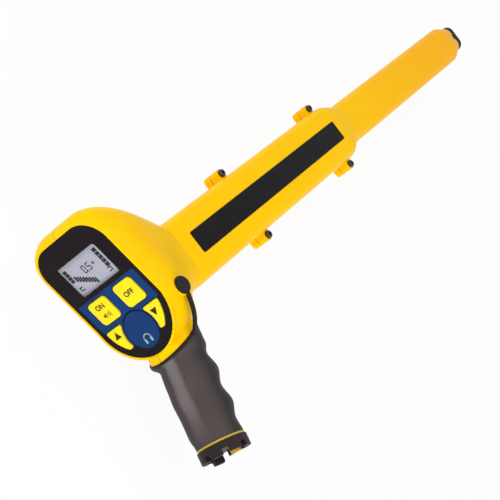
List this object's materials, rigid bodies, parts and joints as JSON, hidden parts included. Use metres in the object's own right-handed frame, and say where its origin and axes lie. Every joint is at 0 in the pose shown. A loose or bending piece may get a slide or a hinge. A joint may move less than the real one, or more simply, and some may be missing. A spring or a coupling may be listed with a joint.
{
  "type": "magnetic locator",
  "caption": "Hand-held magnetic locator: pistol grip with a battery tube, flared head with a display and key panel, long stepped barrel that narrows to a sensor tube.",
  "frame": {"origin": "on the barrel's axis where the narrow sensor tube starts", "axes": "+X along the barrel towards the tip, +Y away from the grip, +Z the right-hand side, which faces up when the locator lies on its left side"},
  "size_m": [0.6285, 0.1877, 0.0745],
  "materials": {
    "housing_yellow": "moulded, fine satin texture",
    "gasket_black": "matt",
    "gasket_yellow": "matt",
    "screw_steel": "blackened",
    "insert_brass": "turned",
    "strip_black": "plain printed film",
    "tip_black": "moulded",
    "plate_black": "moulded",
    "overlay_film": "printed film, black border and blue field",
    "window_clear": "clear",
    "display_grey": "liquid crystal display",
    "key_yellow": "moulded",
    "cover_blue": "moulded",
    "speaker_black": "moulded basket",
    "board_green": "lacquered board",
    "chip_black": "moulded",
    "switch_grey": "moulded",
    "contact_nickel": "nickel plated",
    "jack_black": "moulded",
    "plug_rubber": "matt",
    "sleeve_rubber": "satin, moulded finger ridges",
    "core_yellow": "moulded",
    "carrier_black": "moulded",
    "cell_sleeve": "plain shrink sleeve",
    "cap_black": "moulded",
    "cap_orange": "moulded",
    "tube_composite": "glass-fibre tube",
    "support_foam": "dense foam",
    "bobbin_white": "moulded",
    "coil_copper": "enamelled copper wire",
    "lead_red": "insulation",
    "lead_grey": "insulation"
  },
  "bodies": {
    "housing": {"battery_cells": "cell_sleeve", "battery_lead": "lead_red", "board_chips": "chip_black", "board_screws": "screw_steel", "cell_carrier": "carrier_black", "face_plate": "plate_black", "front_bobbin": "bobbin_white", "front_coil": "coil_copper", "grip_core": "core_yellow", "grip_screws": "screw_steel", "grip_sleeve": "sleeve_rubber", "headphone_jack": "jack_black", "jack_nut": "contact_nickel", "key_switches": "switch_grey", "lcd_module": "display_grey", "lcd_window": "window_clear", "left_shell": "housing_yellow", "main_board": "board_green", "panel_overlay": "overlay_film", "plug_tether": "plug_rubber", "rear_bobbin": "bobbin_white", "rear_coil": "coil_copper", "right_shell": "housing_yellow", "seam_gasket": "gasket_yellow", "sensor_lead": "lead_grey", "sensor_supports": "support_foam", "sensor_tube": "tube_composite", "shell_inserts": "insert_brass", "shell_screws": "screw_steel", "side_strip": "strip_black", "speaker": "speaker_black", "speaker_cover": "cover_blue", "tip_cap": "tip_black", "top_contact": "contact_nickel"},
    "on_key": {"on_key": "key_yellow"},
    "off_key": {"off_key": "key_yellow"},
    "up_key": {"up_key": "key_yellow"},
    "down_key": {"down_key": "key_yellow"},
    "cap": {"battery_cap": "cap_black", "cap_insert": "cap_orange", "cap_contact": "contact_nickel", "cap_seal": "gasket_black"},
    "plug": {"jack_plug": "plug_rubber"}
  },
  "joints": [
    {"name": "on_key_press", "type": "slide", "parent": "housing", "child": "on_key", "axis": [0.9833, 0.1822, 0], "range_m": [0, 0.0007], "stiffness_N_per_m": 1500},
    {"name": "off_key_press", "type": "slide", "parent": "housing", "child": "off_key", "axis": [0.9833, 0.1822, 0], "range_m": [0, 0.0007], "stiffness_N_per_m": 1500},
    {"name": "up_key_press", "type": "slide", "parent": "housing", "child": "up_key", "axis": [0.9833, 0.1822, 0], "range_m": [0, 0.0007], "stiffness_N_per_m": 1500},
    {"name": "down_key_press", "type": "slide", "parent": "housing", "child": "down_key", "axis": [0.9833, 0.1822, 0], "range_m": [0, 0.0007], "stiffness_N_per_m": 1500},
    {"name": "cap_turn", "type": "hinge", "parent": "housing", "child": "cap", "pos_m": [-0.3074, 0, 0], "axis": [-0.3173, -0.9483, 0], "range_deg": [0, 90]},
    {"name": "plug_pull", "type": "slide", "parent": "housing", "child": "plug", "axis": [0, 0, 1], "range_m": [0, 0.01], "deforming": ["plug_tether"]}
  ]
}
